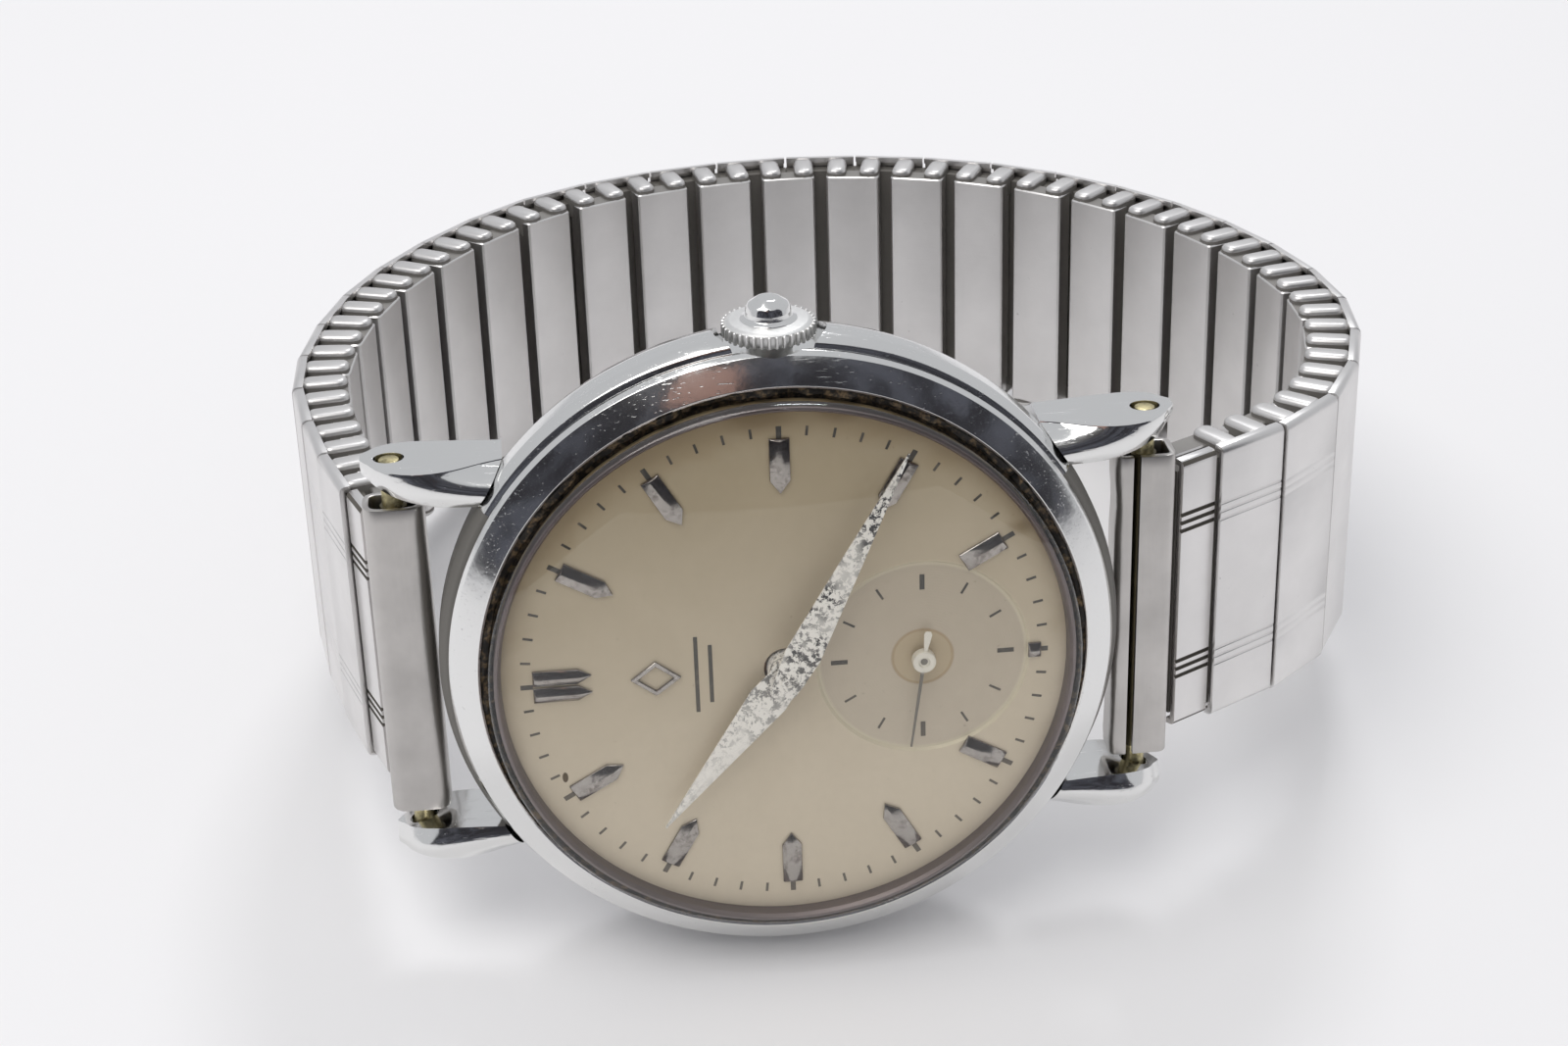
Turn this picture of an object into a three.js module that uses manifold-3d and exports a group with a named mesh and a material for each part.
// A self-winding wristwatch with small seconds, on a sprung expansion bracelet.
// Millimetres, +Z up. The watch stands on its side with the crown up and the dial facing -Y.
//
// Everything is first drawn in the watch's own frame: x runs from 12 to 6 o'clock, z from 9 to
// 3 o'clock, and y from the dial's surface towards the caseback. At the end the whole watch
// leans back until it rests on its case rim and on the back of its bracelet.

import * as THREE from 'three';
import { mergeVertices } from 'three/addons/utils/BufferGeometryUtils.js';
import Module from 'manifold-3d';

const wasm = await Module();
wasm.setup();

// ---------------------------------------------------------------- driving dimensions

const CASE_RADIUS = 16.9;       // widest point of the case band
const BEZEL_RADIUS = 16.4;
const BEZEL_BORE = 14.9;
const CRYSTAL_RADIUS = 14.55;
const CRYSTAL_TOP = 2.9;        // height of the dome above the dial
const DIAL_RADIUS = 13.9;
const TRACK_RADIUS = 13.0;      // outer end of the minute marks
const SUBDIAL_X = 6.77;         // small seconds, towards 6 o'clock
const SUBDIAL_RADIUS = 5.2;
const BACK_DEPTH = 8.4;         // outer face of the caseback

const CROWN_DEPTH = 3.4;        // the stem's height behind the dial
const CROWN_RADIUS = 2.3;
const CROWN_TEETH = 36;
const CROWN_TOP = 16.8;

const LUG_INNER = 9.0;          // half the width between the lugs
const LUG_OUTER = 10.8;
const BAR_X = 18.5;             // spring bars
const BAR_DEPTH = 4.3;

const LINKS = 29;               // bracelet links between the two end pieces
const LINK_HALF_WIDTH = 7.5;
const BRACELET_HALF_THICKNESS = 1.5;
const CLIP_REACH = 8.05;        // half the width over the clips
const LOOP_BACK = 52.4;         // the loop's centre line at the back of the wrist

const MINUTE_ANGLE = 117;       // degrees clockwise from 12 o'clock, at rest
const HOUR_ANGLE = 308;
const SECONDS_ANGLE = 278;

const FACETS = 36;              // round the case; a flat facet faces 9 o'clock
const AIR = 0.1;                // between neighbouring pieces

// ---------------------------------------------------------------- finishes

const finish = (color, roughness, metalness) => () =>
  new THREE.MeshStandardMaterial({ color, roughness, metalness });

const polished = finish(0xd9d9d6, 0.12, 1);
const satin = finish(0xc4c2bf, 0.35, 1);
const patina = finish(0xcfc8ae, 0.55, 0.2);
const plated = finish(0xb9b8b2, 0.4, 0.9);
const acrylic = finish(0xf4f6f2, 0.05, 0);
const brass = finish(0xb6a465, 0.35, 1);
const copper = finish(0xc98f6c, 0.35, 1);
const gilt = finish(0xd0b068, 0.3, 1);

// ---------------------------------------------------------------- solids

// Makes any closed geometry a position-only, outward-facing solid.
function solid(geometry) {
  const bare = geometry.index ? geometry.toNonIndexed() : geometry.clone();
  bare.deleteAttribute('normal');
  bare.deleteAttribute('uv');
  const merged = dropSlivers(mergeVertices(bare, 1e-4));
  if (volume(merged) < 0) {
    const order = merged.index.array;
    for (let i = 0; i < order.length; i += 3) {
      [order[i], order[i + 1]] = [order[i + 1], order[i]];
    }
  }
  return merged;
}

// Triangles that have lost a side, such as those on a lathe's axis, are left out.
function dropSlivers(geometry) {
  const kept = [];
  const order = geometry.index.array;
  for (let i = 0; i < order.length; i += 3) {
    const [a, b, c] = [order[i], order[i + 1], order[i + 2]];
    if (a !== b && b !== c && c !== a) {
      kept.push(a, b, c);
    }
  }
  geometry.setIndex(kept);
  return geometry;
}

function volume(geometry) {
  const [a, b, c] = [new THREE.Vector3(), new THREE.Vector3(), new THREE.Vector3()];
  const order = geometry.index.array;
  let total = 0;
  for (let i = 0; i < order.length; i += 3) {
    a.fromBufferAttribute(geometry.attributes.position, order[i]);
    b.fromBufferAttribute(geometry.attributes.position, order[i + 1]);
    c.fromBufferAttribute(geometry.attributes.position, order[i + 2]);
    total += a.dot(b.cross(c)) / 6;
  }
  return total;
}

function toManifold(geometry) {
  const ready = solid(geometry);
  return new wasm.Manifold(new wasm.Mesh({
    numProp: 3,
    vertProperties: new Float32Array(ready.attributes.position.array),
    triVerts: new Uint32Array(ready.index.array),
  }));
}

function fromManifold(manifold) {
  const mesh = manifold.getMesh();
  const geometry = new THREE.BufferGeometry();
  geometry.setAttribute('position', new THREE.BufferAttribute(mesh.vertProperties, 3));
  geometry.setIndex(new THREE.BufferAttribute(mesh.triVerts, 1));
  return geometry;
}

const join = (first, ...others) =>
  fromManifold(others.reduce((sum, next) => sum.add(toManifold(next)), toManifold(first)));

const cut = (first, ...others) =>
  fromManifold(others.reduce((rest, next) => rest.subtract(toManifold(next)), toManifold(first)));

// A closed [radius, depth] outline turned about the dial's normal.
function turned(outline, facets = FACETS) {
  const points = [...outline, outline[0]].map(([r, y]) => new THREE.Vector2(r, y));
  return solid(new THREE.LatheGeometry(points, facets, Math.PI / facets));
}

// A disc or boss at [x, z], from one depth to another.
function disc(radius, from, to, [x, z] = [0, 0], facets = 16) {
  return new THREE.CylinderGeometry(radius, radius, to - from, facets)
    .translate(x, (from + to) / 2, z);
}

// A pin along z.
function pin(radius, from, to, [x, y], facets = 12) {
  return new THREE.CylinderGeometry(radius, radius, to - from, facets)
    .rotateX(Math.PI / 2)
    .translate(x, y, (from + to) / 2);
}

const outlineOf = (points) => new THREE.Shape(points.map(([x, z]) => new THREE.Vector2(x, z)));

// A flat plate cut from an outline in the dial's plane, from one depth to another.
function plate(shape, from, to, curveSegments = 10) {
  return new THREE.ExtrudeGeometry(shape, { depth: to - from, bevelEnabled: false, curveSegments })
    .rotateX(Math.PI / 2)
    .translate(0, to, 0);
}

function circleOutline(radius, [x, z] = [0, 0]) {
  return new THREE.Shape().absarc(x, z, radius, 0, 2 * Math.PI, false);
}

const polar = (radius, angle) => [radius * Math.cos(angle), radius * Math.sin(angle)];

// The direction of a dial angle, in degrees clockwise from 12 o'clock.
function dialDirection(degrees) {
  const angle = THREE.MathUtils.degToRad(degrees);
  return [-Math.cos(angle), Math.sin(angle)];
}

// Turns a shape drawn along +x to a dial angle about a centre.
function pointTo(geometry, degrees, [x, z] = [0, 0]) {
  const [dx, dz] = dialDirection(degrees);
  return geometry.rotateY(-Math.atan2(dz, dx)).translate(x, 0, z);
}

// ---------------------------------------------------------------- assembly

const watch = new THREE.Group();

function place(name, geometry, material, parent = watch) {
  const mesh = new THREE.Mesh(geometry, material());
  mesh.name = name;
  parent.add(mesh);
  return mesh;
}

// ---------------------------------------------------------------- case

const BAND_FRONT = 1.4;
const BAND_BACK = 5.2;
const MOVEMENT_SPACE = 14.7;
const REST_RIM = { radius: 16.8, depth: 3.6 };  // where the case touches the ground

function midCase() {
  const band = turned([
    [MOVEMENT_SPACE, BAND_FRONT],
    [16.3, BAND_FRONT],
    [16.75, 1.8],
    [CASE_RADIUS, 2.6],
    [REST_RIM.radius, REST_RIM.depth],
    [16.4, 4.6],
    [15.9, BAND_BACK],
    [MOVEMENT_SPACE, BAND_BACK],
  ]);
  const crownRecess = pin(CROWN_RADIUS + 0.45, 15.4, 18, [0, CROWN_DEPTH], 24);
  const stemHole = pin(0.7, 14, 16, [0, CROWN_DEPTH]);
  return cut(band, crownRecess, stemHole);
}

function bezel() {
  const ring = turned([
    [BEZEL_BORE, -0.1],
    [16.3, 0.8],
    [BEZEL_RADIUS, 1.0],
    [BEZEL_RADIUS, BAND_FRONT - AIR],
    [BEZEL_BORE, BAND_FRONT - AIR],
  ]);
  return cut(ring, pin(CROWN_RADIUS + 0.45, 15.7, 18, [0, CROWN_DEPTH], 24));
}

function crystal() {
  const wall = 0.55;
  return turned([
    [0, -CRYSTAL_TOP],
    [7.5, -2.6],
    [13.2, -1.75],
    [CRYSTAL_RADIUS, -0.95],
    [CRYSTAL_RADIUS, 0.6],
    [CRYSTAL_RADIUS - wall, 0.6],
    [CRYSTAL_RADIUS - wall, -1.0],
    [13.5, -1.62],
    [9, -2.0],
    [0, -2.3],
  ]);
}

function tensionRing() {
  return turned([
    [13.45, -0.05],
    [13.55, -0.6],
    [13.9, -0.75],
    [13.95, -0.05],
  ]);
}

function caseback() {
  return turned([
    [0, BACK_DEPTH],
    [12.4, BACK_DEPTH],
    [14.3, 7.5],
    [15.5, 6.3],
    [15.8, BAND_BACK + AIR],
    [14.6, BAND_BACK + AIR],
    [14.5, 6.0],
    [13.5, 7.0],
    [12.3, 7.6],
    [0, 7.7],
  ]);
}

// A teardrop horn, thick over the spring bar and narrow at its root on the case.
function lug(side, half) {
  const horn = new THREE.Shape();
  horn.moveTo(12.3, 5.5);
  horn.lineTo(17.9, 6.2);
  horn.quadraticCurveTo(19.9, 6.2, 19.9, 4.7);
  horn.quadraticCurveTo(19.7, 2.7, 18.0, 1.75);
  horn.quadraticCurveTo(16.4, 1.0, 15.2, 1.9);
  horn.quadraticCurveTo(14.0, 3.0, 12.3, 2.9);
  const bevel = 0.25;
  const horned = new THREE.ExtrudeGeometry(horn, {
    depth: LUG_OUTER - LUG_INNER - bevel,
    curveSegments: 4,
    bevelSegments: 1,
    bevelSize: bevel,
    bevelThickness: bevel,
    bevelOffset: -bevel,
  }).translate(0, 0, LUG_INNER);
  const caseRound = turned([[0, -5], [CASE_RADIUS + AIR, -5], [CASE_RADIUS + AIR, 12], [0, 12]]);
  const innerFace = new THREE.BoxGeometry(20, 20, 2).translate(16, 4, LUG_INNER - 1);
  const barHole = pin(0.6, 5, 13, [BAR_X, BAR_DEPTH]);
  const shaped = cut(horned, caseRound, innerFace, barHole);
  return solid(shaped.scale(side, 1, half));
}

place('mid_case', midCase(), polished);
place('bezel', bezel(), polished);
place('crystal', crystal(), acrylic);
place('tension_ring', tensionRing(), polished);
place('caseback', caseback(), satin);
for (const [sideName, side] of [['12', -1], ['6', 1]]) {
  for (const [halfName, half] of [['upper', 1], ['lower', -1]]) {
    place(`lug_${sideName}_${halfName}`, lug(side, half), polished);
  }
}

// ---------------------------------------------------------------- dial and hands

const BATON = { inner: 9.5, shoulder: 10.2, outer: 12.4, halfWidth: 0.5, height: 0.3 };
const SHORT_INNER = 10.3;       // the batons beside the small seconds are cut short
const NUB_HALF_WIDTH = 0.16;

// A dart-ended hour marker with its small outer nub, drawn along +x.
function baton({ sideways = 0, halfWidth = BATON.halfWidth, inner = BATON.inner }) {
  const blunt = inner > BATON.inner;
  const start = blunt ? [[inner, -halfWidth], [inner, halfWidth]]
    : [[BATON.shoulder, -halfWidth], [inner, 0], [BATON.shoulder, halfWidth]];
  const shape = outlineOf([
    ...start,
    [BATON.outer, halfWidth],
    [BATON.outer, NUB_HALF_WIDTH],
    [TRACK_RADIUS, NUB_HALF_WIDTH],
    [TRACK_RADIUS, -NUB_HALF_WIDTH],
    [BATON.outer, -NUB_HALF_WIDTH],
    [BATON.outer, -halfWidth],
  ]);
  return plate(shape, -BATON.height, 0.05).translate(0, 0, sideways);
}

function dial() {
  const blank = disc(DIAL_RADIUS, 0, 0.4, [0, 0], FACETS);
  const cuts = [
    disc(SUBDIAL_RADIUS, -1, 0.12, [SUBDIAL_X, 0], 32),
    disc(1.1, -1, 1, [0, 0]),
    disc(0.4, -1, 1, [SUBDIAL_X, 0]),
  ];
  const markers = [];
  for (let hour = 1; hour < 12; hour += 1) {
    if (hour !== 6) {
      const inner = hour === 5 || hour === 7 ? SHORT_INNER : BATON.inner;
      markers.push(pointTo(baton({ inner }), hour * 30));
    }
  }
  for (const sideways of [-0.46, 0.46]) {
    markers.push(pointTo(baton({ sideways, halfWidth: 0.4 }), 0));
  }
  markers.push(disc(0.3, -0.2, 0.05, [12.5, 0], 4));
  return join(cut(blank, ...cuts), ...markers);
}

const HAND_THICKNESS = 0.18;
const MINUTE_LEVEL = -1.5;
const HOUR_LEVEL = -0.9;
const SECONDS_LEVEL = -0.45;

// A long kite: a taper from its widest point to the tip, and a short tail behind the centre.
function kiteHand(length, halfWidth, widestAt, tail, level) {
  const shape = outlineOf([
    [length, 0.04],
    [widestAt, halfWidth],
    [-tail, halfWidth * 0.55],
    [-tail, -halfWidth * 0.55],
    [widestAt, -halfWidth],
    [length, -0.04],
  ]);
  return plate(shape, level, level + HAND_THICKNESS);
}

function minuteHand() {
  const blade = kiteHand(13.0, 0.95, 1.6, 1.0, MINUTE_LEVEL);
  return join(pointTo(blade, MINUTE_ANGLE), disc(0.55, MINUTE_LEVEL - 0.15, -1.15));
}

function hourHand() {
  const blade = pointTo(kiteHand(10.2, 1.05, 1.6, 1.0, HOUR_LEVEL), HOUR_ANGLE);
  const pipe = disc(0.95, HOUR_LEVEL, 0.5);
  const hourWheel = disc(2.6, 0.45, 0.62, [0, 0], 24);
  return cut(join(blade, pipe, hourWheel), disc(0.62, -2, 2));
}

function secondsHand() {
  const centre = [SUBDIAL_X, 0];
  const needle = plate(
    outlineOf([[4.7, 0.05], [0, 0.12], [-1.6, 0.22], [-1.6, -0.22], [0, -0.12], [4.7, -0.05]]),
    SECONDS_LEVEL,
    SECONDS_LEVEL + 0.12,
  );
  return join(
    pointTo(needle, SECONDS_ANGLE, centre),
    disc(0.6, SECONDS_LEVEL - 0.05, SECONDS_LEVEL + 0.12, centre),
  );
}

place('dial', dial(), patina);
place('minute_hand', minuteHand(), plated);
place('hour_hand', hourHand(), plated);
place('seconds_hand', secondsHand(), plated);

// ---------------------------------------------------------------- movement

const CENTRE = [0, 0];
const FOURTH = [SUBDIAL_X, 0];
const THIRD = [3.6, -4.6];
const BARREL = [-4.8, 4.55];
const ESCAPE = [9.6, -4.6];
const BALANCE = [2.6, -8.8];
const PLATE_RADIUS = 14.4;
const BRIDGE = [4.7, 5.4];      // depths of the bridges' two faces
const BALANCE_CUTOUT = 4.3;

// A wheel with pointed teeth at one place on the plate.
function toothed(radius, teeth, from, to, [x, z], toothHeight = 0.22) {
  const points = [];
  for (let i = 0; i < teeth; i += 1) {
    const step = 2 * Math.PI / teeth;
    points.push(polar(radius, i * step));
    points.push(polar(radius - toothHeight, (i + 0.5) * step));
  }
  return plate(outlineOf(points), from, to).translate(x, 0, z);
}

function mainplate() {
  const shape = circleOutline(PLATE_RADIUS);
  shape.holes.push(circleOutline(0.8, CENTRE), circleOutline(0.4, FOURTH));
  return plate(shape, 0.72, 1.7, 12);
}

function trainBridge() {
  const round = disc(PLATE_RADIUS - 0.9, ...BRIDGE, CENTRE, FACETS);
  return cut(round, disc(BALANCE_CUTOUT, 4, 6, BALANCE, 24));
}

// A finger over the balance, on a foot that stands on the mainplate at the rim.
function balanceCock() {
  const outward = Math.atan2(BALANCE[1], BALANCE[0]);
  const finger = new THREE.BoxGeometry(4.2, BRIDGE[1] - BRIDGE[0], 1.8)
    .translate(1.7, (BRIDGE[0] + BRIDGE[1]) / 2, 0);
  const foot = new THREE.BoxGeometry(0.7, BRIDGE[1] - 1.75, 2.4)
    .translate(3.65, (BRIDGE[1] + 1.75) / 2, 0);
  return join(finger, foot).rotateY(-outward).translate(BALANCE[0], 0, BALANCE[1]);
}

function centreWheel() {
  return join(
    disc(0.55, -1.1, 4.6, CENTRE, 12),
    toothed(5.0, 24, 3.9, 4.2, CENTRE),
    toothed(0.85, 8, 2.0, 3.6, CENTRE, 0.15),
  );
}

function thirdWheel() {
  return join(
    disc(0.25, 1.8, 4.6, THIRD, 8),
    toothed(4.85, 24, 2.9, 3.2, THIRD),
    toothed(0.72, 8, 3.8, 4.3, THIRD, 0.15),
  );
}

function fourthWheel() {
  return join(
    disc(0.25, -0.25, 4.6, FOURTH, 8),
    toothed(4.7, 24, 2.1, 2.4, FOURTH),
    toothed(0.6, 8, 2.6, 3.5, FOURTH, 0.12),
  );
}

function escapeWheel() {
  return join(
    disc(0.22, 1.8, 4.6, ESCAPE, 8),
    toothed(2.0, 15, 3.4, 3.6, ESCAPE, 0.45),
    toothed(0.5, 7, 2.0, 3.2, ESCAPE, 0.12),
  );
}

// The fork stands between the escape wheel and the balance, and points at the balance staff.
function palletFork() {
  const toBalance = Math.atan2(BALANCE[1] - ESCAPE[1], BALANCE[0] - ESCAPE[0]);
  const [dx, dz] = polar(3.0, toBalance);
  const fork = plate(outlineOf([
    [4.3, 0.35],
    [4.0, 0.12],
    [0.5, 0.15],
    [0.3, 1.3],
    [-0.7, 1.5],
    [-0.3, 0.3],
    [-0.3, -0.3],
    [-0.7, -1.5],
    [0.3, -1.3],
    [0.5, -0.15],
    [4.0, -0.12],
    [4.3, -0.35],
  ]), 3.4, 3.6);
  return join(fork, disc(0.2, 3.3, 4.6, CENTRE, 8))
    .rotateY(-toBalance)
    .translate(ESCAPE[0] + dx, 0, ESCAPE[1] + dz);
}

function balanceWheel() {
  const rim = cut(disc(3.1, 3.85, 4.25, CENTRE, 28), disc(2.6, 3, 5, CENTRE, 28));
  const arm = new THREE.BoxGeometry(5.5, 0.3, 0.5).translate(0, 4.05, 0);
  const staff = disc(0.2, 3.3, 4.6, CENTRE, 8);
  const roller = disc(0.45, 3.35, 3.65, CENTRE, 10);
  return join(rim, arm, staff, roller).translate(BALANCE[0], 0, BALANCE[1]);
}

// The bumper weight hangs down by its arm and swings between two buffers.
function windingWeight() {
  const [inner, outer, half] = [8.2, 12.2, Math.PI / 3];
  const sector = new THREE.Shape();
  sector.absarc(0, 0, outer, -Math.PI / 2 - half, -Math.PI / 2 + half, false);
  sector.absarc(0, 0, inner, -Math.PI / 2 + half, -Math.PI / 2 - half, true);
  const arm = new THREE.BoxGeometry(3.4, 0.8, 8.6).translate(0, 6.4, -4.6);
  return join(plate(sector, 6.0, 6.9, 14), arm, disc(1.7, 5.5, 6.9, CENTRE));
}

function barrel() {
  return join(toothed(5.5, 28, 1.9, 2.3, BARREL), disc(5.1, 2.2, 3.6, BARREL, 20));
}

place('mainplate', mainplate(), copper);
place('train_bridge', trainBridge(), copper);
place('balance_cock', balanceCock(), copper);
place('barrel', barrel(), gilt);
place('ratchet_wheel', toothed(3.2, 20, 5.5, 5.8, BARREL, 0.3), satin);
place('centre_wheel', centreWheel(), gilt);
place('third_wheel', thirdWheel(), gilt);
place('fourth_wheel', fourthWheel(), gilt);
place('escape_wheel', escapeWheel(), satin);
place('pallet_fork', palletFork(), satin);
place('balance_wheel', balanceWheel(), gilt);
place('winding_weight', windingWeight(), copper);

// ---------------------------------------------------------------- crown and stem

function crown() {
  const rimBottom = CROWN_TOP - 0.85;
  const step = Math.PI / CROWN_TEETH;
  const points = [];
  for (let i = 0; i < 2 * CROWN_TEETH; i += 1) {
    points.push(polar(i % 2 ? CROWN_RADIUS - 0.12 : CROWN_RADIUS, i * step));
  }
  const coin = new THREE.ExtrudeGeometry(outlineOf(points), {
    depth: CROWN_TOP - rimBottom,
    bevelEnabled: false,
  }).translate(0, 0, rimBottom);
  const dome = new THREE.LatheGeometry([
    [0, 0], [1.15, 0], [1.15, 0.4], [0.98, 0.95], [0.55, 1.32], [0, 1.45],
  ].map(([r, z]) => new THREE.Vector2(r, z - 0.05)), 16)
    .rotateX(Math.PI / 2)
    .translate(0, 0, CROWN_TOP);
  const collar = pin(1.1, 15.5, rimBottom + 0.1, CENTRE, 16);
  return join(coin, dome, collar).translate(0, CROWN_DEPTH, 0);
}

function stem() {
  const clutch = pin(0.9, 9.2, 10.6, [0, CROWN_DEPTH], 10);
  return join(pin(0.45, 8.7, 15.4, [0, CROWN_DEPTH]), clutch);
}

place('crown', crown(), polished);
place('stem', stem(), satin);

// ---------------------------------------------------------------- spring bars and end pieces

const END_HALF_WIDTH = 8.5;

function springBar(side) {
  return join(
    pin(0.45, -LUG_OUTER + 0.05, LUG_OUTER - 0.05, [side * BAR_X, BAR_DEPTH]),
    pin(0.7, -END_HALF_WIDTH, END_HALF_WIDTH, [side * BAR_X, BAR_DEPTH]),
  );
}

// The wrist loop's centre line seen from above, from the spring bar at 12 o'clock round the
// back to the one at 6 o'clock. It sags a little towards 6 o'clock.
const loop = new THREE.CatmullRomCurve3([
  [-BAR_X, BAR_DEPTH],
  [-21.3, 13],
  [-22.8, 24],
  [-19.3, 37],
  [-9.5, 48.4],
  [5, LOOP_BACK],
  [18.5, 48.8],
  [28.6, 38.5],
  [33, 24],
  [29, 11.6],
  [BAR_X, BAR_DEPTH],
].map(([x, y]) => new THREE.Vector3(x, y, 0)), false, 'centripetal');

const END_REACH = 1.7;          // from a spring bar to the edge of its end piece
const ADAPTOR_LENGTH = 2.4;     // the fixed plate between an end piece and the first link

const loopLength = loop.getLength();
const firstEdge = END_REACH + ADAPTOR_LENGTH;
const pitch = (loopLength - 2 * firstEdge) / LINKS;

// The frame at a distance along the loop: x along it, y outward, z up.
function frameAt(distance) {
  const t = distance / loopLength;
  const at = loop.getPointAt(t);
  const along = loop.getTangentAt(t);
  return new THREE.Matrix4()
    .makeRotationZ(Math.atan2(along.y, along.x))
    .setPosition(at);
}

const linkCentre = (index) => firstEdge + (index + 0.5) * pitch;

// The local frame at one distance as seen from that at another.
const between = (from, to) => frameAt(from).invert().multiply(frameAt(to));

// A folded tube round the spring bar, with a fixed plate that reaches out to the first link.
function endPiece(side, ...extras) {
  const tube = new THREE.Shape();
  const [flat, round] = [0.4, 1.1];
  tube.absarc(flat, 0, round, -Math.PI / 2, Math.PI / 2, false);
  tube.absarc(-flat, 0, round, Math.PI / 2, 1.5 * Math.PI, false);
  const outside = new THREE.ExtrudeGeometry(tube, {
    depth: 2 * END_HALF_WIDTH,
    bevelEnabled: false,
    curveSegments: 6,
  }).translate(side * BAR_X, BAR_DEPTH, -END_HALF_WIDTH);
  const middle = END_REACH + ADAPTOR_LENGTH / 2 - 0.35;
  const distance = side < 0 ? middle : loopLength - middle;
  const adaptor = new THREE.BoxGeometry(ADAPTOR_LENGTH + 0.5, 1.1, 2 * LINK_HALF_WIDTH - 0.1)
    .translate(0, 0.65, 0)
    .applyMatrix4(frameAt(distance));
  const barHole = pin(0.85, -10, 10, [side * BAR_X, BAR_DEPTH]);
  return cut(join(outside, adaptor, ...extras), barHole);
}

// The piece at 12 o'clock also carries the inner box that the first link's clips hook on.
function firstInnerBox() {
  const box = linkBox(firstEdge, -LAYER_GAP, -BRACELET_HALF_THICKNESS, LINK_HALF_WIDTH);
  const web = new THREE.BoxGeometry(0.8, 0.8, 2 * LINK_HALF_WIDTH - 2).translate(-1.0, 0, 0);
  return join(box, web).applyMatrix4(frameAt(firstEdge));
}

// ---------------------------------------------------------------- bracelet links

const LAYER_GAP = 0.12;         // each layer's distance from the centre line
const SIDE_GAP = 0.09;          // each box's distance from the line between two links
const CLIP_ACROSS = 0.95;       // a clip's place along the link, either side of its middle
const CLIP_OUTER = 0.85;        // a clip's two ends, out from and in from the centre line
const CLIP_INNER = 0.8;

// One box of the bracelet, in the frame at its own middle: a bar across the bracelet that is
// cut to the loop's curve at both ends, with the two edges that show taken off.
function linkBox(middle, hidden, show, halfWidth) {
  const chamfer = 0.3;
  const corner = (step, y) => new THREE.Vector3(-Math.sign(step) * SIDE_GAP, y, 0)
    .applyMatrix4(between(middle, middle + step));
  const [startHidden, startShow] = [corner(-pitch / 2, hidden), corner(-pitch / 2, show)];
  const [endHidden, endShow] = [corner(pitch / 2, hidden), corner(pitch / 2, show)];
  const eased = (edge, towards) => edge.clone()
    .add(towards.clone().sub(edge).setLength(chamfer));
  const shape = new THREE.Shape([
    startHidden,
    eased(startShow, startHidden),
    eased(startShow, endShow),
    eased(endShow, startShow),
    eased(endShow, endHidden),
    endHidden,
  ]);
  return new THREE.ExtrudeGeometry(shape, { depth: 2 * halfWidth, bevelEnabled: false })
    .translate(0, 0, -halfWidth);
}

// A U-shaped clip's bend at one edge: a short bar from a point on one layer to the other. It
// starts at a height that is inside the boxes it is fixed to and above those it slides over.
function clip(start, end, floor, half) {
  const run = new THREE.Vector2().subVectors(end, start);
  const [length, width] = [run.length() + 0.7, 0.8];
  return new THREE.BoxGeometry(length, width, CLIP_REACH - floor)
    .translate(run.length() / 2, 0, half * (CLIP_REACH + floor) / 2)
    .rotateZ(run.angle())
    .translate(start.x, start.y, 0);
}

// An outer box, the inner box half a pitch further on, and the clips that hold them.
function link(index) {
  const here = linkCentre(index);
  const next = here + pitch / 2;
  const toInner = between(here, next);
  const toPrevious = between(here, here - pitch / 2);
  const outerWidth = LINK_HALF_WIDTH + 0.1;
  const outer = linkBox(here, LAYER_GAP, BRACELET_HALF_THICKNESS, outerWidth);
  const inner = linkBox(next, -LAYER_GAP, -BRACELET_HALF_THICKNESS, LINK_HALF_WIDTH)
    .applyMatrix4(toInner);
  const innerPoint = new THREE.Vector3(-CLIP_ACROSS + 0.1, -CLIP_INNER, 0).applyMatrix4(toInner);
  const previousPoint = new THREE.Vector3(CLIP_ACROSS - 0.1, -CLIP_INNER, 0)
    .applyMatrix4(toPrevious);
  const outerPoint = new THREE.Vector2(CLIP_ACROSS, CLIP_OUTER);
  const outerPrevious = new THREE.Vector2(-CLIP_ACROSS, CLIP_OUTER);
  const parts = [inner];
  for (const half of [-1, 1]) {
    parts.push(clip(outerPoint, innerPoint, LINK_HALF_WIDTH - 0.2, half));
    parts.push(clip(outerPrevious, previousPoint, LINK_HALF_WIDTH + 0.05, half));
  }
  return join(outer, ...parts);
}

place('spring_bar_12', springBar(-1), brass);
place('spring_bar_6', springBar(1), brass);
place('end_piece_12', endPiece(-1, firstInnerBox()), satin);
place('end_piece_6', endPiece(1), satin);
for (let index = 0; index < LINKS; index += 1) {
  const name = `link_${String(index + 1).padStart(2, '0')}`;
  const mesh = place(name, link(index), satin);
  mesh.applyMatrix4(frameAt(linkCentre(index)));
}

// ---------------------------------------------------------------- stance

// The watch leans back until the case rim and the back of the bracelet are at one height.
const rimReach = REST_RIM.radius * Math.cos(Math.PI / FACETS);
const clipDepth = LOOP_BACK + CLIP_OUTER;
watch.rotation.x = -Math.atan2(rimReach - CLIP_REACH, clipDepth - REST_RIM.depth);
watch.updateMatrixWorld(true);

const box = new THREE.Box3().setFromObject(watch, true);
const centre = box.getCenter(new THREE.Vector3());
watch.position.set(-centre.x, -centre.y, -box.min.z);

const model = new THREE.Group();
model.add(watch);

export default model;
